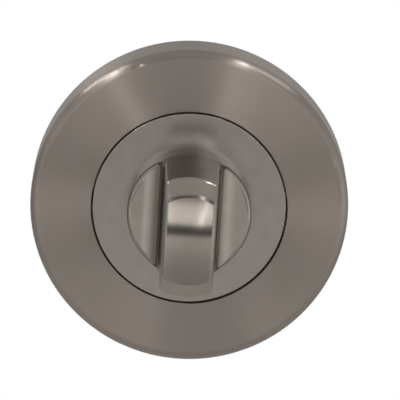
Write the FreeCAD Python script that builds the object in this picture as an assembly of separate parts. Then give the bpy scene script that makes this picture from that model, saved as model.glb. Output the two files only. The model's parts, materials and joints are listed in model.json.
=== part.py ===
import FreeCAD, Part
import math
import os

# Bathroom thumb turn: a turning knob in a round rose, with its fixings.
# Lengths in millimetres. The front faces -Y, +Z is up and the back of the rose lies on Y = 0.
# Heights are written as distances in front of the door, so a height h lies at Y = -h.

V = FreeCAD.Vector
AXIS = V(0, 1, 0)
ORIGIN = V(0, 0, 0)

# Two places nearer than this count as the same, and two faces nearer in angle than this as smooth
NEAR = 0.01
SMOOTH_ANGLE = 10.0

# Cover of the rose: a pressed shell whose wall leans in a little under a rounded rim
ROSE_RADIUS = 26.0
ROSE_HEIGHT = 8.8
ROSE_WALL_DRAFT = 1.5
ROSE_RIM_ROUNDING = 1.5
COVER_WALL = 1.3
COVER_INNER_ROUNDING = 0.4
COVER_EDGE_BREAK = 0.15
KNOB_GAP = 0.2

# Ring round the knob, flush with the rose, and the flange that carries it
DISC_RADIUS = 15.65
FACE_RING_THICKNESS = 1.3
DISC_EDGE_BREAK = 0.12
FLANGE_THICKNESS = 0.8
FLANGE_RADIUS = 14.6

# Turned boss and the grip that is left when both its sides are milled away
BOSS_RADIUS = 10.0
GRIP_HEIGHT = 21.6
GRIP_HALF_AT_FRONT = 4.0
GRIP_SIDE_DRAFT = 1.7
GRIP_END_DRAFT = 1.6
SHELF_HEIGHT = 4.5
SHELF_ROOT_RADIUS = 3.2
FRONT_DOME_RADIUS = 32.0
FRONT_BEVEL_WIDTH = 2.45
FRONT_BEVEL_ANGLE = 31.0
FRONT_BEVEL_ROUNDING = 2.0
KNOB_EDGE_ROUNDING = 0.7

# Shank behind the flange, which turns in the bush
SHANK_RADIUS = 5.0
SHANK_END_HEIGHT = 0.2

# Base plate that the fixings clamp to the door
PLATE_THICKNESS = 3.0
PLATE_HUB_RADIUS = 9.5
PLATE_HUB_HEIGHT = 5.1
PLATE_RECESS_RADIUS = 8.8
PLATE_RECESS_DEPTH = 2.4
COVER_PLATE_CLEARANCE = 0.3

# Bush and glide washer
BUSH_WALL = 1.6
BUSH_FLANGE_RADIUS = 9.0
BUSH_FLANGE_THICKNESS = 0.7
BUSH_CLEARANCE = 0.05
GLIDE_OUTER_RADIUS = 8.8
GLIDE_SIDE_CLEARANCE = 0.25
AXIAL_CLEARANCE = 0.05

# Spindle, its reducing sleeve and the roll pin that holds the spindle in the shank
SPINDLE_SIZE = 5.0
SPINDLE_CORNER = 0.4
SPINDLE_BACK = 58.0
SPINDLE_SOCKET_DEPTH = 11.0
SPINDLE_FIT = 0.05
SLEEVE_SIZE = 8.0
SLEEVE_CORNER = 0.6
SLEEVE_START = 24.0
SLEEVE_LENGTH = 24.0
SLEEVE_FIT = 0.05
ROLL_PIN_RADIUS = 1.0
ROLL_PIN_BORE = 0.55
ROLL_PIN_SLOT = 0.4
ROLL_PIN_HEIGHT = 3.9
ROLL_PIN_SHORTFALL = 0.4

# Washers and circlip that keep the shank in the plate
THRUST_THICKNESS = 0.5
THRUST_OUTER_RADIUS = 8.0
SPRING_THICKNESS = 0.25
SPRING_BOW = 0.35
SPRING_OUTER_RADIUS = 7.6
CIRCLIP_THICKNESS = 0.7
CIRCLIP_GROOVE_DEPTH = 0.5
CIRCLIP_BODY = 1.5
CIRCLIP_LUG_RADIUS = 1.1
CIRCLIP_LUG_HOLE = 0.5
CIRCLIP_OPENING = 50.0
CIRCLIP_LUG_SETBACK = 6.0
WASHER_BORE_CLEARANCE = 0.15

# Quarter-turn stop: the pin's circle lies this far outside the hub
STOP_HUB_DISTANCE = 2.7
STOP_PIN_RADIUS = 1.0
STOP_PIN_SEAT = 0.6
STOP_SLOT_DEPTH = 1.7
STOP_PIN_TIP_CLEARANCE = 0.3
STOP_SLOT_SIDE_CLEARANCE = 0.15
STOP_END_CLEARANCE = 1.0
TURN_RANGE = 90.0
STOP_START_ANGLE = 45.0

# Fixing bolts through the door, set in from the plate's edge so that they stand 38 apart
BOLT_EDGE_DISTANCE = 5.4
BOLT_RADIUS = 2.0
BOLT_LENGTH = 45.0
BOLT_NECK_RADIUS = 1.75
BOLT_THREAD_START = 0.6
BOLT_HEAD_RADIUS = 3.4
BOLT_HEAD_HEIGHT = 2.2
BOLT_HEAD_ROUNDING = 0.6
BOLT_SLOT_WIDTH = 1.0
BOLT_SLOT_DEPTH = 1.1
BOLT_HOLE_CLEARANCE = 0.2
BOLT_WASHER_RADIUS = 4.2
BOLT_WASHER_THICKNESS = 0.6
BOLT_TIP_CHAMFER = 0.5
SPIGOT_RADIUS = 3.7
SPIGOT_LENGTH = 4.0
SPIGOT_CHAMFER = 0.5

# Wood screws above and below, set in from the plate's edge
SCREW_EDGE_DISTANCE = 5.4
SCREW_HEAD_RADIUS = 3.3
SCREW_SHANK_RADIUS = 1.7
SCREW_LENGTH = 20.0
SCREW_NECK_RADIUS = 1.4
SCREW_THREAD_START = 0.8
SCREW_POINT_LENGTH = 4.0
SCREW_HEAD_SINK = 0.1
SCREW_HOLE_CLEARANCE = 0.15
SCREW_CROSS_WIDTH = 0.8
SCREW_CROSS_LENGTH = 3.6
SCREW_CROSS_DEPTH = 1.4

# Snap ring between plate and cover
SNAP_WIRE_RADIUS = 0.45
SNAP_HEIGHT = 1.5
SNAP_GROOVE_CLEARANCE = 0.08
SNAP_REACH = 0.42
SNAP_OPENING = 24.0

# Heights and radii that follow from the sizes above
BACK_HEIGHT = 0.0
FACE_RING_BACK = ROSE_HEIGHT - FACE_RING_THICKNESS
FLANGE_BACK = FACE_RING_BACK - FLANGE_THICKNESS
GRIP_TOP = ROSE_HEIGHT + GRIP_HEIGHT
SHELF_TOP = ROSE_HEIGHT + SHELF_HEIGHT
COVER_INNER_RADIUS = ROSE_RADIUS - COVER_WALL
PLATE_RADIUS = COVER_INNER_RADIUS - COVER_PLATE_CLEARANCE
BOLT_CIRCLE_RADIUS = PLATE_RADIUS - BOLT_EDGE_DISTANCE
SCREW_CIRCLE_RADIUS = PLATE_RADIUS - SCREW_EDGE_DISTANCE
STOP_CIRCLE_RADIUS = PLATE_HUB_RADIUS + STOP_HUB_DISTANCE
BUSH_BORE = SHANK_RADIUS + BUSH_CLEARANCE
BUSH_OUTER = BUSH_BORE + BUSH_WALL
BUSH_FLANGE_TOP = PLATE_HUB_HEIGHT + BUSH_FLANGE_THICKNESS
CLIP_GROOVE_RADIUS = SHANK_RADIUS - CIRCLIP_GROOVE_DEPTH
THRUST_TOP = PLATE_RECESS_DEPTH - AXIAL_CLEARANCE
THRUST_BACK = THRUST_TOP - THRUST_THICKNESS
SPRING_BACK = THRUST_BACK - AXIAL_CLEARANCE - SPRING_THICKNESS - SPRING_BOW
CIRCLIP_TOP = SPRING_BACK
CIRCLIP_BACK = CIRCLIP_TOP - CIRCLIP_THICKNESS
STOP_SLOT_FLOOR = PLATE_THICKNESS - STOP_SLOT_DEPTH


def disc(radius, back, front):
    """A round disc on the knob's axis between two heights."""
    return Part.makeCylinder(radius, front - back, V(0, -back, 0), -AXIS)


def ring(outer, inner, back, front):
    """A flat ring on the knob's axis between two heights."""
    return disc(outer, back, front).cut(disc(inner, back, front))


def rod(radius, x, z, back, front):
    """A round rod along Y, off the knob's axis."""
    return Part.makeCylinder(radius, front - back, V(x, -back, z), -AXIS)


def square_bar(size, corner, back, front):
    """A square bar along Y with rounded corners."""
    half = size / 2
    bar = Part.makeBox(size, front - back, size, V(-half, -front, -half))
    along = [edge for edge in bar.Edges if edge.BoundBox.YLength > NEAR]
    return bar.makeFillet(corner, along)


def revolve(points):
    """Turn a profile of (radius, height) points and arcs about the knob's axis."""
    edges = []
    here = points[0]
    for step in points[1:] + [points[0]]:
        if len(step) == 4:
            middle = V(step[0], -step[1], 0)
            end = step[2:]
            edges.append(Part.Arc(V(here[0], -here[1], 0), middle, V(end[0], -end[1], 0)).toShape())
        else:
            end = step
            edges.append(Part.LineSegment(V(here[0], -here[1], 0), V(end[0], -end[1], 0)).toShape())
        here = end
    return Part.Face(Part.Wire(edges)).revolve(ORIGIN, AXIS, 360)


def rounded_corner(radius, height, rounding, draft):
    """Start, middle and end of the arc between a wall that leans in from the back and a flat front."""
    lean = math.radians(draft)
    centre_height = height - rounding
    centre_radius = radius - centre_height * math.tan(lean) - rounding / math.cos(lean)
    places = []
    for turn in (lean, (lean + math.pi / 2) / 2, math.pi / 2):
        places.append((centre_radius + rounding * math.cos(turn), centre_height + rounding * math.sin(turn)))
    return places


def rose_cover():
    """Pressed shell: rim, rounded edge, flat face and the hole that the knob turns in."""
    hole = DISC_RADIUS + KNOB_GAP
    inner_face = ROSE_HEIGHT - COVER_WALL
    break_in = COVER_EDGE_BREAK
    lip_slant = break_in * math.sqrt(0.5)
    rim = rounded_corner(ROSE_RADIUS, ROSE_HEIGHT, ROSE_RIM_ROUNDING, ROSE_WALL_DRAFT)
    inner = rounded_corner(COVER_INNER_RADIUS, inner_face, COVER_INNER_ROUNDING, 0)
    rim_start, rim_middle, rim_end = rim
    inner_start, inner_middle, inner_end = inner
    profile = [
        (COVER_INNER_RADIUS, BACK_HEIGHT),
        (ROSE_RADIUS, BACK_HEIGHT),
        rim_start,
        rim_middle + rim_end,
        (hole + break_in, ROSE_HEIGHT),
        (hole + break_in - lip_slant, ROSE_HEIGHT - break_in + lip_slant, hole, ROSE_HEIGHT - break_in),
        (hole, inner_face),
        inner_end,
        inner_middle + inner_start,
    ]
    groove = torus_at_snap(SNAP_WIRE_RADIUS + SNAP_GROOVE_CLEARANCE)
    return revolve(profile).cut(groove)


def torus_at_snap(wire_radius):
    """A torus on the line of the snap ring."""
    return Part.makeTorus(snap_circle_radius(), wire_radius, V(0, -SNAP_HEIGHT, 0), AXIS)


def snap_circle_radius():
    """Radius of the snap ring's wire, which reaches a little into the cover's wall."""
    return COVER_INNER_RADIUS - SNAP_REACH


def base_plate():
    """Round plate with bearing hub, washer recess, stop slot, screw holes and bolt spigots."""
    plate = disc(PLATE_RADIUS, BACK_HEIGHT, PLATE_THICKNESS)
    plate = plate.fuse(disc(PLATE_HUB_RADIUS, PLATE_THICKNESS, PLATE_HUB_HEIGHT))
    for side in (-1, 1):
        spigot = rod(SPIGOT_RADIUS, side * BOLT_CIRCLE_RADIUS, 0, -SPIGOT_LENGTH, BACK_HEIGHT)
        tip = [edge for edge in spigot.Edges if edge.CenterOfMass.y > SPIGOT_LENGTH - NEAR]
        plate = plate.fuse(spigot.makeChamfer(SPIGOT_CHAMFER, tip))
    plate = plate.removeSplitter()
    plate = plate.cut(disc(PLATE_RECESS_RADIUS, BACK_HEIGHT, PLATE_RECESS_DEPTH))
    plate = plate.cut(disc(BUSH_OUTER, PLATE_RECESS_DEPTH, PLATE_HUB_HEIGHT))
    plate = plate.cut(torus_at_snap(SNAP_WIRE_RADIUS + SNAP_GROOVE_CLEARANCE))
    plate = plate.cut(stop_slot())
    for side in (-1, 1):
        bolt_hole = BOLT_RADIUS + BOLT_HOLE_CLEARANCE
        plate = plate.cut(rod(bolt_hole, side * BOLT_CIRCLE_RADIUS, 0, -SPIGOT_LENGTH, PLATE_THICKNESS))
        plate = plate.cut(screw_hole(side * SCREW_CIRCLE_RADIUS))
    return plate


def stop_slot():
    """Blind arc slot for the stop pin, a quarter turn long."""
    half_width = STOP_PIN_RADIUS + STOP_SLOT_SIDE_CLEARANCE
    inner = STOP_CIRCLE_RADIUS - half_width
    outer = STOP_CIRCLE_RADIUS + half_width
    spare = math.degrees(STOP_END_CLEARANCE / STOP_CIRCLE_RADIUS)
    start = STOP_START_ANGLE - spare
    sweep = TURN_RANGE + 2 * spare
    corners = []
    for radius in (inner, outer):
        corners.append(on_circle(radius, start))
        corners.append(on_circle(radius, start + sweep))
    middle = start + sweep / 2
    edges = [
        Part.Arc(corners[0], on_circle(inner, middle), corners[1]).toShape(),
        Part.LineSegment(corners[1], corners[3]).toShape(),
        Part.Arc(corners[3], on_circle(outer, middle), corners[2]).toShape(),
        Part.LineSegment(corners[2], corners[0]).toShape(),
    ]
    slot = Part.Face(Part.Wire(edges)).extrude(V(0, -STOP_SLOT_DEPTH, 0))
    slot.translate(V(0, -STOP_SLOT_FLOOR, 0))
    for angle in (start, start + sweep):
        end = on_circle(STOP_CIRCLE_RADIUS, angle)
        slot = slot.fuse(rod(half_width, end.x, end.z, STOP_SLOT_FLOOR, PLATE_THICKNESS))
    return slot


def on_circle(radius, angle):
    """A point on a circle about the axis; the angle runs clockwise from the top, seen from the front."""
    turn = math.radians(angle)
    return V(radius * math.sin(turn), 0, radius * math.cos(turn))


def screw_hole(z):
    """Countersunk hole for a wood screw."""
    bore = SCREW_SHANK_RADIUS + SCREW_HOLE_CLEARANCE
    head = SCREW_HEAD_RADIUS + SCREW_HOLE_CLEARANCE
    sink_depth = head - bore
    hole = rod(bore, 0, z, BACK_HEIGHT, PLATE_THICKNESS)
    sink_start = PLATE_THICKNESS - SCREW_HEAD_SINK - sink_depth
    sink = Part.makeCone(bore, head, sink_depth, V(0, -sink_start, z), -AXIS)
    mouth = rod(head, 0, z, PLATE_THICKNESS - SCREW_HEAD_SINK, PLATE_THICKNESS)
    return hole.fuse(sink).fuse(mouth)


def cover_snap_ring():
    """Open ring of spring wire that holds the cover on the plate."""
    ring_path = Part.makeTorus(snap_circle_radius(), SNAP_WIRE_RADIUS, V(0, -SNAP_HEIGHT, 0), AXIS)
    far = ROSE_RADIUS
    reach = far * math.tan(math.radians(SNAP_OPENING / 2))
    wedge_points = [V(0, 0, 0), V(-reach, 0, -far), V(reach, 0, -far), V(0, 0, 0)]
    wedge = Part.Face(Part.makePolygon(wedge_points)).extrude(V(0, -2 * SNAP_HEIGHT, 0))
    return ring_path.cut(wedge)


def hub_bush():
    """Flanged bearing bush in the hub of the plate."""
    sleeve = disc(BUSH_OUTER, PLATE_RECESS_DEPTH, PLATE_HUB_HEIGHT)
    flange = disc(BUSH_FLANGE_RADIUS, PLATE_HUB_HEIGHT, BUSH_FLANGE_TOP)
    bush = sleeve.fuse(flange).removeSplitter()
    return bush.cut(disc(BUSH_BORE, PLATE_RECESS_DEPTH, BUSH_FLANGE_TOP))


def glide_washer():
    """Thin washer between the bush and the back of the knob's flange."""
    return ring(GLIDE_OUTER_RADIUS, SHANK_RADIUS + GLIDE_SIDE_CLEARANCE,
                BUSH_FLANGE_TOP, FLANGE_BACK - AXIAL_CLEARANCE)


def knob_blank():
    """Turned blank of the knob: shank, flange, boss and the slightly tapered body."""
    body = Part.makeCone(BOSS_RADIUS, grip_end_radius(), GRIP_TOP - SHELF_TOP, V(0, -SHELF_TOP, 0), -AXIS)
    blank = body.fuse(disc(BOSS_RADIUS, FACE_RING_BACK, SHELF_TOP))
    blank = blank.fuse(disc(FLANGE_RADIUS, FLANGE_BACK, FACE_RING_BACK))
    blank = blank.fuse(disc(SHANK_RADIUS, SHANK_END_HEIGHT, FLANGE_BACK))
    return blank.removeSplitter()


def grip_end_radius():
    """Radius that the tapered body has at the height of its front."""
    return BOSS_RADIUS - (GRIP_TOP - SHELF_TOP) * math.tan(math.radians(GRIP_END_DRAFT))


def turned_front():
    """Solid whose front is the knob's: a shallow dome that runs over a soft crease into a bevel."""
    crease_radius = grip_end_radius() - FRONT_BEVEL_WIDTH
    crease_drop = FRONT_DOME_RADIUS - math.sqrt(FRONT_DOME_RADIUS ** 2 - crease_radius ** 2)
    slope = math.tan(math.radians(FRONT_BEVEL_ANGLE))
    tip_height = GRIP_TOP - crease_drop + crease_radius * slope
    dome = Part.makeSphere(FRONT_DOME_RADIUS, V(0, FRONT_DOME_RADIUS - GRIP_TOP, 0))
    bevel = Part.makeCone(tip_height / slope, 0, tip_height, ORIGIN, -AXIS)
    front = bevel.common(dome)
    crease = [edge for edge in front.Edges if abs(edge.BoundBox.ZMax - crease_radius) < NEAR]
    return front.makeFillet(FRONT_BEVEL_ROUNDING, crease)


def side_cut(side):
    """What the mill takes away beside the grip: a shelf, a round root and a slightly sloping wall."""
    draft = math.radians(GRIP_SIDE_DRAFT)
    root = SHELF_ROOT_RADIUS
    past = ROSE_RADIUS
    wall_at_shelf = GRIP_HALF_AT_FRONT + (GRIP_TOP - SHELF_TOP) * math.tan(draft)
    tangent = root * math.tan((math.pi / 2 - draft) / 2)
    floor_point = (wall_at_shelf + tangent, SHELF_TOP)
    wall_point = (wall_at_shelf - tangent * math.sin(draft), SHELF_TOP + tangent * math.cos(draft))
    centre = (floor_point[0], SHELF_TOP + root)
    middle_turn = (math.pi / 2 + math.pi - draft) / 2
    arc_middle = (centre[0] + root * math.cos(middle_turn), centre[1] - root * math.sin(middle_turn))
    clear_height = GRIP_TOP + root
    wall_end = (wall_at_shelf - (clear_height - SHELF_TOP) * math.tan(draft), clear_height)

    def point(place):
        return V(side * place[0], -place[1], -past)

    edges = [
        Part.LineSegment(point((past, SHELF_TOP)), point(floor_point)).toShape(),
        Part.Arc(point(floor_point), point(arc_middle), point(wall_point)).toShape(),
        Part.LineSegment(point(wall_point), point(wall_end)).toShape(),
        Part.LineSegment(point(wall_end), point((past, clear_height))).toShape(),
        Part.LineSegment(point((past, clear_height)), point((past, SHELF_TOP))).toShape(),
    ]
    return Part.Face(Part.Wire(edges)).extrude(V(0, 0, 2 * past))


def turn_knob():
    """Knob: the turned blank with its grip milled out, the square socket and the pin holes."""
    knob = knob_blank()
    for side in (-1, 1):
        knob = knob.cut(side_cut(side))
    knob = shape_grip(knob)
    socket = square_bar(SPINDLE_SIZE + 2 * SPINDLE_FIT, SPINDLE_CORNER, SHANK_END_HEIGHT,
                        SHANK_END_HEIGHT + SPINDLE_SOCKET_DEPTH)
    knob = knob.cut(socket)
    knob = knob.cut(ring(2 * SHANK_RADIUS, CLIP_GROOVE_RADIUS, CIRCLIP_BACK, CIRCLIP_TOP))
    knob = knob.cut(pin_hole())
    stop = on_circle(STOP_CIRCLE_RADIUS, STOP_START_ANGLE)
    knob = knob.cut(rod(STOP_PIN_RADIUS, stop.x, stop.z, FLANGE_BACK, FLANGE_BACK + STOP_PIN_SEAT))
    return knob


def is_sharp(shape, edge):
    """Whether two faces meet at this edge at an angle."""
    faces = shape.ancestorsOfType(edge, Part.Face)
    if len(faces) < 2:
        return False
    middle = edge.valueAt((edge.FirstParameter + edge.LastParameter) / 2)
    normals = []
    for face in faces:
        across, along = face.Surface.parameter(middle)
        normals.append(face.normalAt(across, along))
    return math.degrees(normals[0].getAngle(normals[1])) > SMOOTH_ANGLE


def sharp_edges(shape, place):
    """The sharp edges whose span of heights is in this place."""
    found = []
    for edge in shape.Edges:
        if place(-edge.BoundBox.YMax, -edge.BoundBox.YMin) and is_sharp(shape, edge):
            found.append(edge)
    return found


def shape_grip(knob):
    """Round the outlines that the mill leaves, turn the front, and round the edge all along it."""
    middle = (SHELF_TOP + GRIP_TOP) / 2
    upright = sharp_edges(knob, lambda low, high: low < middle < high)
    knob = knob.makeFillet(KNOB_EDGE_ROUNDING, upright)
    knob = knob.common(turned_front())
    front = sharp_edges(knob, lambda low, high: low > middle)
    return knob.makeFillet(KNOB_EDGE_ROUNDING, front)


def pin_hole():
    """Cross hole for the roll pin, through shank and spindle."""
    reach = 2 * SHANK_RADIUS
    return Part.makeCylinder(ROLL_PIN_RADIUS, 2 * reach, V(-reach, -ROLL_PIN_HEIGHT, 0), V(1, 0, 0))


def knob_face_ring():
    """Ring round the boss that fills the hole in the cover, flush with its face."""
    blank = disc(DISC_RADIUS, FACE_RING_BACK, ROSE_HEIGHT)
    front = [edge for edge in blank.Edges
             if edge.BoundBox.YLength < NEAR and abs(edge.BoundBox.YMin + ROSE_HEIGHT) < NEAR]
    return blank.makeFillet(DISC_EDGE_BREAK, front).cut(disc(BOSS_RADIUS, FACE_RING_BACK, ROSE_HEIGHT))


def spindle():
    """Square spindle that passes through the lock case."""
    bar = square_bar(SPINDLE_SIZE, SPINDLE_CORNER, -SPINDLE_BACK,
                     SHANK_END_HEIGHT + SPINDLE_SOCKET_DEPTH)
    return bar.cut(pin_hole())


def spindle_sleeve():
    """Square reducing sleeve on the spindle."""
    start = -SLEEVE_START - SLEEVE_LENGTH
    outer = square_bar(SLEEVE_SIZE, SLEEVE_CORNER, start, -SLEEVE_START)
    return outer.cut(square_bar(SPINDLE_SIZE + 2 * SLEEVE_FIT, SPINDLE_CORNER, start, -SLEEVE_START))


def spindle_roll_pin():
    """Slotted spring pin across shank and spindle."""
    half = SHANK_RADIUS - ROLL_PIN_SHORTFALL
    start = V(-half, -ROLL_PIN_HEIGHT, 0)
    pin = Part.makeCylinder(ROLL_PIN_RADIUS, 2 * half, start, V(1, 0, 0))
    pin = pin.cut(Part.makeCylinder(ROLL_PIN_BORE, 2 * half, start, V(1, 0, 0)))
    slot_corner = V(-half, -ROLL_PIN_HEIGHT - ROLL_PIN_SLOT / 2, 0)
    return pin.cut(Part.makeBox(2 * half, ROLL_PIN_SLOT, ROLL_PIN_RADIUS, slot_corner))


def thrust_washer():
    """Flat washer that bears on the floor of the plate's recess."""
    return ring(THRUST_OUTER_RADIUS, SHANK_RADIUS + WASHER_BORE_CLEARANCE, THRUST_BACK, THRUST_TOP)


def curved_spring_washer():
    """Bowed spring washer that gives the turn its drag."""
    half = SPRING_OUTER_RADIUS
    low = SPRING_BACK
    high = SPRING_BACK + SPRING_BOW

    def arc(offset):
        start = V(-half, -(low + offset), -half)
        middle = V(0, -(high + offset), -half)
        end = V(half, -(low + offset), -half)
        return Part.Arc(start, middle, end).toShape()

    back = arc(0)
    front = arc(SPRING_THICKNESS)
    sides = []
    for x in (-half, half):
        sides.append(Part.LineSegment(V(x, -low, -half), V(x, -low - SPRING_THICKNESS, -half)).toShape())
    wire = Part.Wire(Part.__sortEdges__([back, sides[1], front, sides[0]]))
    strip = Part.Face(wire).extrude(V(0, 0, 2 * half))
    bore = SHANK_RADIUS + WASHER_BORE_CLEARANCE
    return strip.common(ring(SPRING_OUTER_RADIUS, bore, CIRCLIP_BACK, THRUST_TOP))


def circlip():
    """External circlip with two lugs, in the groove of the shank."""
    outer = CLIP_GROOVE_RADIUS + CIRCLIP_BODY
    clip = ring(outer, CLIP_GROOVE_RADIUS, CIRCLIP_BACK, CIRCLIP_TOP)
    far = 2 * outer
    reach = far * math.tan(math.radians(CIRCLIP_OPENING / 2))
    opening = Part.makePolygon([V(0, 0, 0), V(-reach, 0, far), V(reach, 0, far), V(0, 0, 0)])
    wedge = Part.Face(opening).extrude(V(0, -ROSE_HEIGHT, 0))
    clip = clip.cut(wedge)
    lug_circle = outer - CIRCLIP_LUG_RADIUS / 2
    for side in (-1, 1):
        place = on_circle(lug_circle, side * (CIRCLIP_OPENING / 2 + CIRCLIP_LUG_SETBACK))
        clip = clip.fuse(rod(CIRCLIP_LUG_RADIUS, place.x, place.z, CIRCLIP_BACK, CIRCLIP_TOP))
        clip = clip.cut(rod(CIRCLIP_LUG_HOLE, place.x, place.z, CIRCLIP_BACK, CIRCLIP_TOP))
    return clip.cut(disc(CLIP_GROOVE_RADIUS, CIRCLIP_BACK, CIRCLIP_TOP))


def stop_pin():
    """Pin in the back of the flange that runs in the plate's arc slot."""
    place = on_circle(STOP_CIRCLE_RADIUS, STOP_START_ANGLE)
    tip = STOP_SLOT_FLOOR + STOP_PIN_TIP_CLEARANCE
    return rod(STOP_PIN_RADIUS, place.x, place.z, tip, FLANGE_BACK + STOP_PIN_SEAT)


def fixing_bolt(side):
    """Slotted bolt that clamps the plate through the door."""
    x = side * BOLT_CIRCLE_RADIUS
    under_head = PLATE_THICKNESS + BOLT_WASHER_THICKNESS
    thread_start = -SPIGOT_LENGTH - BOLT_THREAD_START
    neck = rod(BOLT_NECK_RADIUS, x, 0, thread_start, under_head)
    shaft = rod(BOLT_RADIUS, x, 0, under_head - BOLT_LENGTH, thread_start)
    tip = [edge for edge in shaft.Edges if edge.CenterOfMass.y > BOLT_LENGTH - under_head - NEAR]
    shaft = shaft.makeChamfer(BOLT_TIP_CHAMFER, tip)
    head = rod(BOLT_HEAD_RADIUS, x, 0, under_head, under_head + BOLT_HEAD_HEIGHT)
    crown = [edge for edge in head.Edges
             if edge.BoundBox.YMax < -(under_head + BOLT_HEAD_HEIGHT) + NEAR]
    head = head.makeFillet(BOLT_HEAD_ROUNDING, crown)
    slot_back = under_head + BOLT_HEAD_HEIGHT - BOLT_SLOT_DEPTH
    slot_corner = V(x - BOLT_SLOT_WIDTH / 2, -slot_back - BOLT_SLOT_DEPTH, -BOLT_HEAD_RADIUS)
    slot = Part.makeBox(BOLT_SLOT_WIDTH, BOLT_SLOT_DEPTH, 2 * BOLT_HEAD_RADIUS, slot_corner)
    return shaft.fuse(neck).fuse(head).removeSplitter().cut(slot)


def bolt_washer(side):
    """Plain washer under the bolt's head."""
    x = side * BOLT_CIRCLE_RADIUS
    top = PLATE_THICKNESS + BOLT_WASHER_THICKNESS
    washer = rod(BOLT_WASHER_RADIUS, x, 0, PLATE_THICKNESS, top)
    return washer.cut(rod(BOLT_RADIUS + WASHER_BORE_CLEARANCE, x, 0, PLATE_THICKNESS, top))


def wood_screw(side):
    """Countersunk wood screw with a cross recess."""
    z = side * SCREW_CIRCLE_RADIUS
    top = PLATE_THICKNESS - SCREW_HEAD_SINK
    head_depth = SCREW_HEAD_RADIUS - SCREW_NECK_RADIUS
    head_back = top - head_depth
    tip = top - SCREW_LENGTH
    head = Part.makeCone(SCREW_NECK_RADIUS, SCREW_HEAD_RADIUS, head_depth, V(0, -head_back, z), -AXIS)
    neck = rod(SCREW_NECK_RADIUS, 0, z, -SCREW_THREAD_START, head_back)
    shank = rod(SCREW_SHANK_RADIUS, 0, z, tip + SCREW_POINT_LENGTH, -SCREW_THREAD_START)
    point = Part.makeCone(SCREW_SHANK_RADIUS, 0, SCREW_POINT_LENGTH, V(0, -(tip + SCREW_POINT_LENGTH), z), AXIS)
    screw = head.fuse(neck).fuse(shank).fuse(point)
    half = SCREW_CROSS_WIDTH / 2
    arm = SCREW_CROSS_LENGTH / 2
    bottom = -top
    screw = screw.cut(Part.makeBox(2 * half, SCREW_CROSS_DEPTH, 2 * arm, V(-half, bottom, z - arm)))
    return screw.cut(Part.makeBox(2 * arm, SCREW_CROSS_DEPTH, 2 * half, V(-arm, bottom, z - half)))


def write(name, shape):
    """Save one piece as its own STEP file."""
    shape.exportStep("parts/" + name + ".step")
    print(name, len(shape.Solids), shape.isValid(), round(shape.Volume, 2))


os.makedirs("parts", exist_ok=True)
write("rose_cover", rose_cover())
write("base_plate", base_plate())
write("cover_snap_ring", cover_snap_ring())
write("hub_bush", hub_bush())
write("glide_washer", glide_washer())
write("turn_knob", turn_knob())
write("knob_face_ring", knob_face_ring())
write("spindle", spindle())
write("spindle_sleeve", spindle_sleeve())
write("spindle_roll_pin", spindle_roll_pin())
write("thrust_washer", thrust_washer())
write("curved_spring_washer", curved_spring_washer())
write("circlip", circlip())
write("stop_pin", stop_pin())
for place, side in (("left", -1), ("right", 1)):
    write("fixing_bolt_" + place, fixing_bolt(side))
    write("bolt_washer_" + place, bolt_washer(side))
for place, side in (("bottom", -1), ("top", 1)):
    write("wood_screw_" + place, wood_screw(side))
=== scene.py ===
import bpy, json, math
from mathutils import Matrix, Quaternion, Vector

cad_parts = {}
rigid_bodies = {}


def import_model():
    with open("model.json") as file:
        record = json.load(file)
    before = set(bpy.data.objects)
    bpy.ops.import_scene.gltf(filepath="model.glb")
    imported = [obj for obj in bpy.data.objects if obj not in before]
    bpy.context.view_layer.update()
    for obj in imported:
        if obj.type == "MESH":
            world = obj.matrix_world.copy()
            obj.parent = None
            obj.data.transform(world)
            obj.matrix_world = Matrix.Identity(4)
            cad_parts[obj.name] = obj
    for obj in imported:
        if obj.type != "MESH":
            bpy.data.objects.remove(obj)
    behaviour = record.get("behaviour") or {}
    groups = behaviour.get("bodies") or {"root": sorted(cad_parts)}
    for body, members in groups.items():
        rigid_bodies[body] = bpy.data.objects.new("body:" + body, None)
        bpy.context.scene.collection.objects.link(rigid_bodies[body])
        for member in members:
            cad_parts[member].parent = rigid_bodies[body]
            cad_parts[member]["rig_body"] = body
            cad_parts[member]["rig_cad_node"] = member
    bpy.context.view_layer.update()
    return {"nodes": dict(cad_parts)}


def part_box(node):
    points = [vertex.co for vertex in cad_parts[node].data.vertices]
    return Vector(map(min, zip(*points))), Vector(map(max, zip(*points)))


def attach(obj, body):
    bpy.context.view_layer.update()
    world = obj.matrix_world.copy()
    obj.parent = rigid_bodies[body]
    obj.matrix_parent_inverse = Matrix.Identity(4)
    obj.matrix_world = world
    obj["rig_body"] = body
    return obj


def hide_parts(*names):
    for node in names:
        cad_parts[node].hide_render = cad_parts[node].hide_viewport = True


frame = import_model()
nodes = frame["nodes"]


# Base plate
# A round plate of die-cast zinc with its bearing hub and bolt spigots, zinc plated.
# It lies flat on the door under the cover, so only its edge and back can be seen.

def add_node(tree, kind, settings=None, inputs=None):
    """Add a node to a material. An input is a value, or the output of another node."""
    node = tree.nodes.new(kind)
    for name, value in (settings or {}).items():
        setattr(node, name, value)
    for name, value in (inputs or {}).items():
        if isinstance(value, bpy.types.NodeSocket):
            tree.links.new(value, node.inputs[name])
        else:
            node.inputs[name].default_value = value
    return node


def new_finish(name, metallic):
    """A material with its node tree and its main shader."""
    finish = bpy.data.materials.new(name)
    finish.use_nodes = True
    shader = finish.node_tree.nodes["Principled BSDF"]
    shader.inputs["Metallic"].default_value = metallic
    return finish, finish.node_tree, shader


def mix_colours(tree, factor, first, second, blend="MIX"):
    """Mix two colours. A Mix node takes them at its inputs 6 and 7 and gives output 2."""
    mix = add_node(tree, "ShaderNodeMix", {"data_type": "RGBA", "blend_type": blend},
                   {"Factor": factor, 6: first, 7: second})
    return mix.outputs[2]


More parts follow.
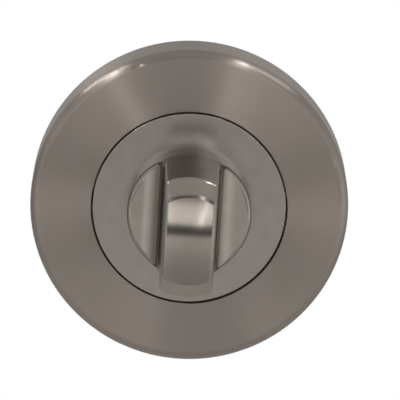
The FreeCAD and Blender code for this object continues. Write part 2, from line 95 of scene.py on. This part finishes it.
def speckle(tree, scale, detail=3.0):
    """Soft noise on the piece, as many spots to the metre as the scale says."""
    place = add_node(tree, "ShaderNodeTexCoord").outputs["Object"]
    inputs = {"Vector": place, "Scale": scale, "Detail": detail}
    return add_node(tree, "ShaderNodeTexNoise", None, inputs).outputs["Fac"]


def set_colour(tree, shader, factor, dark, light):
    """Colour a finish between two tones."""
    colour = mix_colours(tree, factor, (*dark, 1), (*light, 1))
    tree.links.new(colour, shader.inputs["Base Color"])


def set_roughness(tree, shader, factor, smooth, rough):
    """Let a finish vary between a smoother and a rougher value."""
    spread = add_node(tree, "ShaderNodeMapRange", None,
                      {"Value": factor, "To Min": smooth, "To Max": rough})
    tree.links.new(spread.outputs["Result"], shader.inputs["Roughness"])


def set_relief(tree, shader, height, depth):
    """Let a height in 0 to 1 stand up by this depth in metres."""
    relief = add_node(tree, "ShaderNodeBump", None,
                      {"Height": height, "Distance": depth, "Strength": 1.0})
    tree.links.new(relief.outputs["Normal"], shader.inputs["Normal"])


def plated_metal(name, dark, light, smooth, rough, grain_depth):
    """Plating with cloudy patches and a fine grain."""
    finish, tree, shader = new_finish(name, metallic=1.0)
    clouds = speckle(tree, scale=260.0)
    grain = speckle(tree, scale=4200.0)
    set_colour(tree, shader, clouds, dark, light)
    set_roughness(tree, shader, grain, smooth, rough)
    set_relief(tree, shader, grain, grain_depth)
    return finish


def dress(names, finish):
    """Give CAD nodes their finish."""
    for name in names:
        nodes[name].material_slots[0].material = finish


cast_zinc = plated_metal("cast_zinc", dark=(0.40, 0.42, 0.44), light=(0.56, 0.57, 0.58),
                         smooth=0.28, rough=0.46, grain_depth=0.00002)
dress(["base_plate"], cast_zinc)


# Hub bush and glide washer
# Turned from natural nylon, pressed into the hub and laid under the knob's flange.
# They keep metal from rubbing on metal when the knob turns.

def milky_nylon():
    """Pale plastic with soft clouds and a faint grain."""
    finish, tree, shader = new_finish("natural_nylon", metallic=0.0)
    clouds = speckle(tree, scale=500.0)
    grain = speckle(tree, scale=2500.0)
    set_colour(tree, shader, clouds, dark=(0.70, 0.67, 0.58), light=(0.80, 0.78, 0.70))
    set_roughness(tree, shader, clouds, smooth=0.42, rough=0.55)
    set_relief(tree, shader, grain, depth=0.000015)
    return finish


dress(["hub_bush", "glide_washer"], milky_nylon())


# Turn knob
# Turned and milled from one bar and satin nickel plated: a round boss with a tall grip.
# A belt has brushed it lengthwise, over its top end and down its front, and along both shelves.

def maths(tree, operation, *values, kind="ShaderNodeMath"):
    """A node that works out a sum from values, or from the outputs of other nodes."""
    return add_node(tree, kind, {"operation": operation}, dict(enumerate(values)))


def vector_maths(tree, operation, *values):
    """The same for directions and places."""
    return maths(tree, operation, *values, kind="ShaderNodeVectorMath")


def in_scene_axes(tree, direction):
    """A direction on the piece, turned to the scene's axes, as a shader's tangent has to be."""
    settings = {"vector_type": "VECTOR", "convert_from": "OBJECT", "convert_to": "WORLD"}
    return add_node(tree, "ShaderNodeVectorTransform", settings, {"Vector": direction}).outputs[0]


def brush_marks(tree, place, scale):
    """Noise that is drawn out along the marks, because its scale is far smaller that way."""
    stretch = add_node(tree, "ShaderNodeMapping", None, {"Vector": place, "Scale": scale})
    inputs = {"Vector": stretch.outputs[0], "Scale": 1.0, "Detail": 3.0}
    return add_node(tree, "ShaderNodeTexNoise", None, inputs).outputs["Fac"]


def set_brushing(tree, shader, strength, direction):
    """Spread what a finish reflects across the direction in which it was brushed."""
    shader.inputs["Anisotropic"].default_value = strength
    shader.inputs["Anisotropic Rotation"].default_value = 0.25
    tree.links.new(direction, shader.inputs["Tangent"])


UPWARD_LEAN = 0.05


def way_of_the_belt(tree):
    """The way the belt ran: over the surface, at right angles to the grip's width. The lean
    gives it a direction on the walls too, which face along that width."""
    across = in_scene_axes(tree, (1, 0, 0))
    upwards = in_scene_axes(tree, (0, 0, UPWARD_LEAN))
    facing = add_node(tree, "ShaderNodeNewGeometry").outputs["Normal"]
    over = vector_maths(tree, "CROSS_PRODUCT", facing, across).outputs[0]
    return vector_maths(tree, "ADD", over, upwards).outputs[0]


def belt_brushed_nickel():
    """Satin nickel with fine straight marks that run up the grip."""
    finish, tree, shader = new_finish("belt_brushed_nickel", metallic=1.0)
    place = add_node(tree, "ShaderNodeTexCoord").outputs["Object"]
    marks = brush_marks(tree, place, scale=(5200.0, 120.0, 120.0))
    clouds = speckle(tree, scale=350.0)
    set_colour(tree, shader, clouds, dark=(0.215, 0.193, 0.168), light=(0.262, 0.236, 0.208))
    set_roughness(tree, shader, marks, smooth=0.12, rough=0.165)
    set_relief(tree, shader, marks, depth=0.0000003)
    set_brushing(tree, shader, strength=0.2, direction=way_of_the_belt(tree))
    return finish


dress(["turn_knob"], belt_brushed_nickel())


# Face ring
# A flat ring of the same metal round the boss, glass-bead blasted before it was plated.
# It fills the hole in the cover and turns with the knob.

def blasted_nickel():
    """Even, matt satin nickel with a soft mottle."""
    finish, tree, shader = new_finish("blasted_nickel", metallic=1.0)
    mottle = speckle(tree, scale=420.0)
    pits = speckle(tree, scale=5200.0, detail=2.0)
    set_colour(tree, shader, mottle, dark=(0.225, 0.198, 0.183), light=(0.288, 0.256, 0.240))
    set_roughness(tree, shader, pits, smooth=0.20, rough=0.26)
    set_relief(tree, shader, pits, depth=0.000003)
    return finish


dress(["knob_face_ring"], blasted_nickel())


# Spindle, reducing sleeve, stop pin and thrust washer
# Drawn and turned steel, bright zinc plated. The spindle is pinned in the knob's shank.
# The sleeve packs its 5 mm square out to the 8 mm follower of other locks.

bright_steel = plated_metal("bright_zinc_steel", dark=(0.44, 0.46, 0.48), light=(0.60, 0.61, 0.62),
                            smooth=0.20, rough=0.38, grain_depth=0.00001)
dress(["spindle", "spindle_sleeve", "stop_pin", "thrust_washer"], bright_steel)


# Roll pin, bowed washer, circlip and snap ring
# Spring steel, hardened and left with a dark phosphate skin that holds oil. The pin is driven
# through the shank, the bowed washer bears on the circlip, and both rings snap in place.

dark_spring = plated_metal("phosphated_spring",
                           dark=(0.030, 0.030, 0.032), light=(0.060, 0.059, 0.060),
                           smooth=0.34, rough=0.52, grain_depth=0.000012)
dress(["spindle_roll_pin", "curved_spring_washer", "circlip", "cover_snap_ring"], dark_spring)


# Fixing bolts and their washers
# Slotted M4 bolts with rolled threads, zinc plated. They go through the door on both sides
# of the lock case, each on a plain washer.

WELD_DISTANCE = 0.000002
THREAD_STEPS_PER_TURN = 18
THREAD_SMOOTH_ANGLE = math.radians(35)
START_SLACK = 0.0001


def only_select(piece):
    """Select this piece and nothing else."""
    bpy.ops.object.select_all(action="DESELECT")
    piece.select_set(True)
    bpy.context.view_layer.objects.active = piece


def copy_of_node(name, new_name):
    """A welded copy of a CAD node's mesh, to be shaped further."""
    piece = nodes[name].copy()
    piece.data = nodes[name].data.copy()
    piece.name = new_name
    piece.parent = None
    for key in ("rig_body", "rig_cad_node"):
        del piece[key]
    bpy.context.scene.collection.objects.link(piece)
    only_select(piece)
    bpy.ops.mesh.customdata_custom_splitnormals_clear()
    bpy.ops.object.mode_set(mode="EDIT")
    bpy.ops.mesh.select_all(action="SELECT")
    bpy.ops.mesh.remove_doubles(threshold=WELD_DISTANCE)
    bpy.ops.object.mode_set(mode="OBJECT")
    return piece


def thread_ridge(centre, start, turns, pitch, crest, side, slimness):
    """A helical ridge about a line along Y. A triangle with one corner out at the crest, narrowed
    along Y by the slimness, is turned and moved on."""
    corner_radius = side / math.sqrt(3)
    bpy.ops.mesh.primitive_circle_add(vertices=3, radius=corner_radius)
    ridge = bpy.context.active_object
    ridge.location = (centre[0], 0, centre[1])
    for corner in ridge.data.vertices:
        outwards = corner.co.y - corner_radius
        corner.co = (crest + outwards, start + corner.co.x * slimness, 0)
    coil = ridge.modifiers.new("coil", "SCREW")
    coil.axis = "Y"
    coil.steps = coil.render_steps = THREAD_STEPS_PER_TURN
    coil.iterations = turns
    coil.screw_offset = pitch
    coil.use_smooth_shade = False
    bpy.ops.object.modifier_apply(modifier="coil")
    bpy.ops.object.mode_set(mode="EDIT")
    bpy.ops.mesh.select_all(action="SELECT")
    bpy.ops.mesh.remove_doubles(threshold=WELD_DISTANCE)
    bpy.ops.mesh.select_all(action="DESELECT")
    bpy.ops.mesh.select_non_manifold()
    bpy.ops.mesh.edge_face_add()
    bpy.ops.mesh.select_all(action="SELECT")
    bpy.ops.mesh.normals_make_consistent(inside=False)
    bpy.ops.object.mode_set(mode="OBJECT")
    return ridge


def thin_to_core(piece, centre, start, share):
    """Draw in the threaded length of a shaft to the core under its thread. The slack takes in
    the corners at the very start."""
    for corner in piece.data.vertices:
        if corner.co.y > start - START_SLACK:
            corner.co.x = centre[0] + (corner.co.x - centre[0]) * share
            corner.co.z = centre[1] + (corner.co.z - centre[1]) * share


def join_thread(piece, ridge):
    """Make shaft and thread one piece, with its place in its mesh."""
    only_select(ridge)
    bpy.ops.object.transform_apply(location=True, rotation=True, scale=True)
    piece.select_set(True)
    bpy.context.view_layer.objects.active = piece
    bpy.ops.object.join()
    bpy.ops.object.shade_smooth_by_angle(angle=THREAD_SMOOTH_ANGLE)


def middle_of(name):
    """X and Z of the middle of a CAD node."""
    low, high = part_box(name)
    return ((low.x + high.x) / 2, (low.z + high.z) / 2)


BOLT_THREAD_START = 0.0046
BOLT_PITCH = 0.0007
BOLT_CREST = 0.002
BOLT_CORE = 0.0016
BOLT_RIDGE_SIDE = 0.95 * BOLT_PITCH
BOLT_TIP = 0.0006
for side in ("left", "right"):
    name = "fixing_bolt_" + side
    centre = middle_of(name)
    bolt = copy_of_node(name, "threaded_bolt_" + side)
    thin_to_core(bolt, centre, BOLT_THREAD_START, BOLT_CORE / BOLT_CREST)
    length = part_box(name)[1].y - BOLT_TIP - BOLT_THREAD_START
    ridge = thread_ridge(centre, start=BOLT_THREAD_START + BOLT_PITCH / 2,
                         turns=int(length / BOLT_PITCH) - 1, pitch=BOLT_PITCH,
                         crest=BOLT_CREST, side=BOLT_RIDGE_SIDE, slimness=1.0)
    join_thread(bolt, ridge)
    bolt.material_slots[0].material = bright_steel
    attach(bolt, "rose")
    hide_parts(name)
dress(["bolt_washer_left", "bolt_washer_right"], bright_steel)


# Wood screws
# Countersunk cross-head screws, yellow passivated, that keep the plate on the door
# before the bolts go through. Their thread runs out on the point.

SCREW_THREAD_START = 0.0008
SCREW_PITCH = 0.0015
SCREW_CREST = 0.0017
SCREW_CORE = 0.00115
SCREW_RIDGE_SIDE = 0.0009
SCREW_RIDGE_SLIMNESS = 0.7
SCREW_POINT = 0.004
SCREW_POINT_END = 0.02
yellow_steel = plated_metal("yellow_passivated", dark=(0.42, 0.33, 0.13), light=(0.56, 0.50, 0.28),
                            smooth=0.22, rough=0.40, grain_depth=0.00001)


def run_out(ridge, tip):
    """Draw a thread in towards the axis along the screw's point, to a small share at its end."""
    for corner in ridge.data.vertices:
        left = (tip - corner.co.y) / SCREW_POINT
        if left < 1:
            corner.co.x *= max(left, SCREW_POINT_END)
            corner.co.z *= max(left, SCREW_POINT_END)


for side in ("top", "bottom"):
    name = "wood_screw_" + side
    centre = middle_of(name)
    screw = copy_of_node(name, "threaded_screw_" + side)
    thin_to_core(screw, centre, SCREW_THREAD_START, SCREW_CORE / SCREW_CREST)
    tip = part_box(name)[1].y
    length = tip - SCREW_THREAD_START
    ridge = thread_ridge(centre, start=SCREW_THREAD_START + SCREW_PITCH / 3,
                         turns=int(length / SCREW_PITCH) - 1, pitch=SCREW_PITCH,
                         crest=SCREW_CREST, side=SCREW_RIDGE_SIDE, slimness=SCREW_RIDGE_SLIMNESS)
    run_out(ridge, tip)
    join_thread(screw, ridge)
    screw.material_slots[0].material = yellow_steel
    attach(screw, "rose")
    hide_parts(name)


# Rose cover
# Pressed from sheet, brushed on a lathe so that its marks run round, and satin nickel plated.
# The snap ring holds it on the plate.

def lathe_brushed_nickel():
    """Satin nickel with fine marks that run round the knob's axis, on front and rim alike."""
    finish, tree, shader = new_finish("lathe_brushed_nickel", metallic=1.0)
    place = add_node(tree, "ShaderNodeTexCoord").outputs["Object"]
    apart = add_node(tree, "ShaderNodeSeparateXYZ", None, {"Vector": place}).outputs
    flat = add_node(tree, "ShaderNodeCombineXYZ", None, {"X": apart["X"], "Z": apart["Z"]}).outputs[0]
    radius = vector_maths(tree, "LENGTH", flat).outputs["Value"]
    down_the_side = maths(tree, "ADD", radius, apart["Y"]).outputs[0]
    turn = maths(tree, "ARCTAN2", apart["X"], apart["Z"]).outputs[0]
    unrolled = add_node(tree, "ShaderNodeCombineXYZ", None, {"X": down_the_side, "Y": turn}).outputs[0]
    marks = brush_marks(tree, unrolled, scale=(5600.0, 1.6, 1.0))
    clouds = speckle(tree, scale=120.0)
    set_colour(tree, shader, clouds, dark=(0.219, 0.190, 0.165), light=(0.254, 0.221, 0.194))
    set_roughness(tree, shader, marks, smooth=0.26, rough=0.34)
    set_relief(tree, shader, marks, depth=0.000001)
    round_the_axis = vector_maths(tree, "CROSS_PRODUCT", flat, (0, 1, 0)).outputs[0]
    set_brushing(tree, shader, strength=0.97, direction=in_scene_axes(tree, round_the_axis))
    return finish


dress(["rose_cover"], lathe_brushed_nickel())


# Floor
# A plain pale sheet, painted matt, that lies well below the object.
# It is white where the camera looks at it.

FLOOR_DROP = 0.6
FLOOR_FRONT = -0.3
FLOOR_SIZE = 3.0
FLOOR_COLOUR = (0.8, 0.8, 0.79, 1)
FLOOR_ROUGHNESS = 0.8
bpy.ops.mesh.primitive_plane_add(size=FLOOR_SIZE,
                                 location=(0, FLOOR_FRONT + FLOOR_SIZE / 2, -FLOOR_DROP))
floor = bpy.context.active_object
floor.name = "floor"
pale, pale_tree, pale_shader = new_finish("pale_floor", metallic=0.0)
pale_shader.inputs["Base Color"].default_value = FLOOR_COLOUR
pale_shader.inputs["Roughness"].default_value = FLOOR_ROUGHNESS
seen = add_node(pale_tree, "ShaderNodeLightPath").outputs["Is Camera Ray"]
white = add_node(pale_tree, "ShaderNodeEmission").outputs[0]
choice = add_node(pale_tree, "ShaderNodeMixShader", None,
                  {0: seen, 1: pale_shader.outputs[0], 2: white})
pale_tree.links.new(choice.outputs[0], pale_tree.nodes["Material Output"].inputs["Surface"])
floor.data.materials.append(pale)


# Studio room
# Pale walls that the metal mirrors, and plain white for the camera. Each list goes by degrees:
# brightness by height in front of the object, with the dark gap under the soft box, and at its
# open sides, the share that those sides take, and brightness by side for what lies low.

FRONT_BY_HEIGHT = [
    (-90, 0.50), (-75, 0.52), (-62, 0.50), (-45, 0.56), (-38, 0.56), (-34, 0.59), (-24, 0.72),
    (-16, 0.98), (-12.4, 1.14), (-11.4, 1.0), (-10.6, 0.0), (-5.2, 0.0), (-4.4, 0.95), (7.9, 0.95),
    (8.3, 0.28), (15, 0.24), (30, 0.36), (40, 0.85), (60, 0.80), (90, 0.70),
]
SIDES_BY_HEIGHT = [
    (-90, 0.50), (-75, 0.52), (-62, 0.55), (-45, 0.62), (-34, 0.62), (-24, 0.75), (-16, 0.98),
    (-12.4, 1.10), (0, 1.0), (15, 0.85), (90, 0.75),
]
SHARE_OF_SIDES = [(-180, 1), (-36, 1), (-21, 0), (21, 0), (36, 1), (180, 1)]
LOW_BY_SIDE = [
    (-180, 0.8), (-130, 0.8), (-110, 0.50), (-90, 0.42), (-73, 0.60), (-58, 0.86), (-38, 1.16),
    (-22, 1.36), (-12, 1.20), (-4, 1.02), (4, 1.02), (20, 1.10), (40, 1.20), (60, 1.32),
    (90, 0.95), (110, 0.50), (130, 0.5), (180, 0.8),
]
LOW_ENDS_AT = 0.25
BACK_STARTS_AT = 0.3
BACK_FULL_AT = 0.6
BACK_WALL = (0.72, 0.72, 0.72, 1)
WHITE = (1, 1, 1, 1)


def share_between(tree, value, low, high):
    """Where a value lies between low and high, as 0 to 1."""
    inputs = {"Value": value, "From Min": low, "From Max": high}
    return add_node(tree, "ShaderNodeMapRange", None, inputs).outputs[0]


def share_of_rise(rise):
    """The place of a height in degrees on a ramp over the whole room."""
    return (math.sin(math.radians(rise)) + 1) / 2


def share_of_turn(turn):
    """The place of a side in degrees on a ramp over the whole room."""
    return (turn + 180) / 360


def level_ramp(tree, factor, levels, place_of):
    """Brightness steps along a factor from 0 to 1."""
    node = add_node(tree, "ShaderNodeValToRGB", None, {"Fac": factor})
    steps = node.color_ramp.elements
    while len(steps) > 1:
        steps.remove(steps[0])
    steps[0].position = place_of(levels[0][0])
    for degrees, level in levels[1:]:
        steps.new(place_of(degrees))
    for step, (degrees, level) in zip(steps, levels):
        step.color = (level, level, level, 1)
    return node.outputs["Color"]


world = bpy.context.scene.world or bpy.data.worlds.new("room")
bpy.context.scene.world = world
world.use_nodes = True
room = world.node_tree
look = add_node(room, "ShaderNodeTexCoord").outputs["Generated"]
look_apart = add_node(room, "ShaderNodeSeparateXYZ", None, {"Vector": look}).outputs
rise_share = share_between(room, look_apart["Z"], -1.0, 1.0)
forwards = maths(room, "MULTIPLY", look_apart["Y"], -1.0).outputs[0]
bearing = maths(room, "ARCTAN2", look_apart["X"], forwards).outputs[0]
turn_share = share_between(room, bearing, -math.pi, math.pi)
front_walls = level_ramp(room, rise_share, FRONT_BY_HEIGHT, share_of_rise)
side_walls = level_ramp(room, rise_share, SIDES_BY_HEIGHT, share_of_rise)
share_of_sides = level_ramp(room, turn_share, SHARE_OF_SIDES, share_of_turn)
walls = mix_colours(room, share_of_sides, front_walls, side_walls)
low_by_side = level_ramp(room, turn_share, LOW_BY_SIDE, share_of_turn)
above_low = share_between(room, look_apart["Z"], 0.0, LOW_ENDS_AT)
low_sides = mix_colours(room, above_low, low_by_side, WHITE)
front_room = mix_colours(room, 1.0, walls, low_sides, blend="MULTIPLY")
behind = share_between(room, look_apart["Y"], BACK_STARTS_AT, BACK_FULL_AT)
whole_room = mix_colours(room, behind, front_room, BACK_WALL)
lens_sees = add_node(room, "ShaderNodeLightPath").outputs["Is Camera Ray"]
shown = mix_colours(room, lens_sees, whole_room, WHITE)
room.links.new(shown, room.nodes["Background"].inputs["Color"])
room.nodes["Background"].inputs["Strength"].default_value = 1.0


# Lamps
# In front a wide soft box hangs at the height of the knob, with two narrow tubes before it.
# Strip lamps rise over it to the left and right, with wings that run on to the sides.

LAMP_DISTANCE = 1.0
LAMP_COLOUR = (0.97, 0.97, 1.0)


def towards(azimuth, elevation):
    """A direction from the object; azimuth 0 is straight in front and grows to the right."""
    turn = math.radians(azimuth)
    rise = math.radians(elevation)
    return Vector((math.sin(turn) * math.cos(rise), -math.cos(turn) * math.cos(rise), math.sin(rise)))


def strip_lamp(name, start, end, width, level):
    """A soft lamp that faces the object and reaches from one direction to another, each an azimuth
    and an elevation. Level is how bright its face is, where 1 is the plain room."""
    first = towards(*start)
    last = towards(*end)
    way = (first + last).normalized()
    along = (last - first).normalized()
    length = 2 * LAMP_DISTANCE * math.tan(first.angle(last) / 2)
    data = bpy.data.lights.new(name, "AREA")
    data.shape = "RECTANGLE"
    data.size = width
    data.size_y = length
    data.energy = level * math.pi * width * length
    data.color = LAMP_COLOUR
    lamp = bpy.data.objects.new(name, data)
    lamp.location = way * LAMP_DISTANCE
    lamp.rotation_mode = "QUATERNION"
    axes = Matrix((along.cross(way), along, way)).transposed()
    lamp.rotation_quaternion = axes.to_quaternion()
    bpy.context.scene.collection.objects.link(lamp)


strip_lamp("front_box", (0, -4.4), (0, 7.9), width=0.7, level=1.04)
strip_lamp("left_tube", (-9.5, -4.6), (-11.4, 7.8), width=0.024, level=1.3)
strip_lamp("right_tube", (6.4, -4.6), (9.5, 7.8), width=0.016, level=7.6)
strip_lamp("left_strip", (-19.5, 16), (-66, 50), width=0.035, level=13.0)
strip_lamp("right_strip", (7.6, 11), (16.4, 36), width=0.035, level=6.5)
strip_lamp("right_top", (29, 50), (46, 62), width=0.06, level=20.0)
strip_lamp("left_top", (-53, 51), (-74, 55), width=0.05, level=7.0)
strip_lamp("left_wing", (-62, 50), (-96, 36), width=0.05, level=26.0)
strip_lamp("right_wing", (28, 51), (78, 44), width=0.05, level=15.0)


# Camera
# It stands about as high above the knob's axis as in the photograph and looks down on it.
# Its lens is long, and a small roll and shift bring the rose to the same place in the frame.

LENS_DISTANCE = 0.4
LENS_ELEVATION = 13.6
LENS_AZIMUTH = -0.7
LENS_ROLL = 3.4
LENS_LENGTH = 222.6
LENS_SHIFT_X = 0.027
LENS_SHIFT_Y = 0.0215
SENSOR_WIDTH = 36.0
NEAREST_SEEN = 0.01
AIM = Vector((0, -0.0088, 0))
back = towards(LENS_AZIMUTH, LENS_ELEVATION)
roll = Quaternion((0, 0, 1), math.radians(LENS_ROLL))
camera = bpy.data.objects.new("camera", bpy.data.cameras.new("camera"))
camera.location = AIM + back * LENS_DISTANCE
camera.rotation_mode = "QUATERNION"
camera.rotation_quaternion = back.to_track_quat("Z", "Y") @ roll
camera.data.lens = LENS_LENGTH
camera.data.sensor_width = SENSOR_WIDTH
camera.data.shift_x = LENS_SHIFT_X
camera.data.shift_y = LENS_SHIFT_Y
camera.data.clip_start = NEAREST_SEEN
bpy.context.scene.collection.objects.link(camera)
bpy.context.scene.camera = camera
bpy.context.scene.view_settings.view_transform = "Standard"
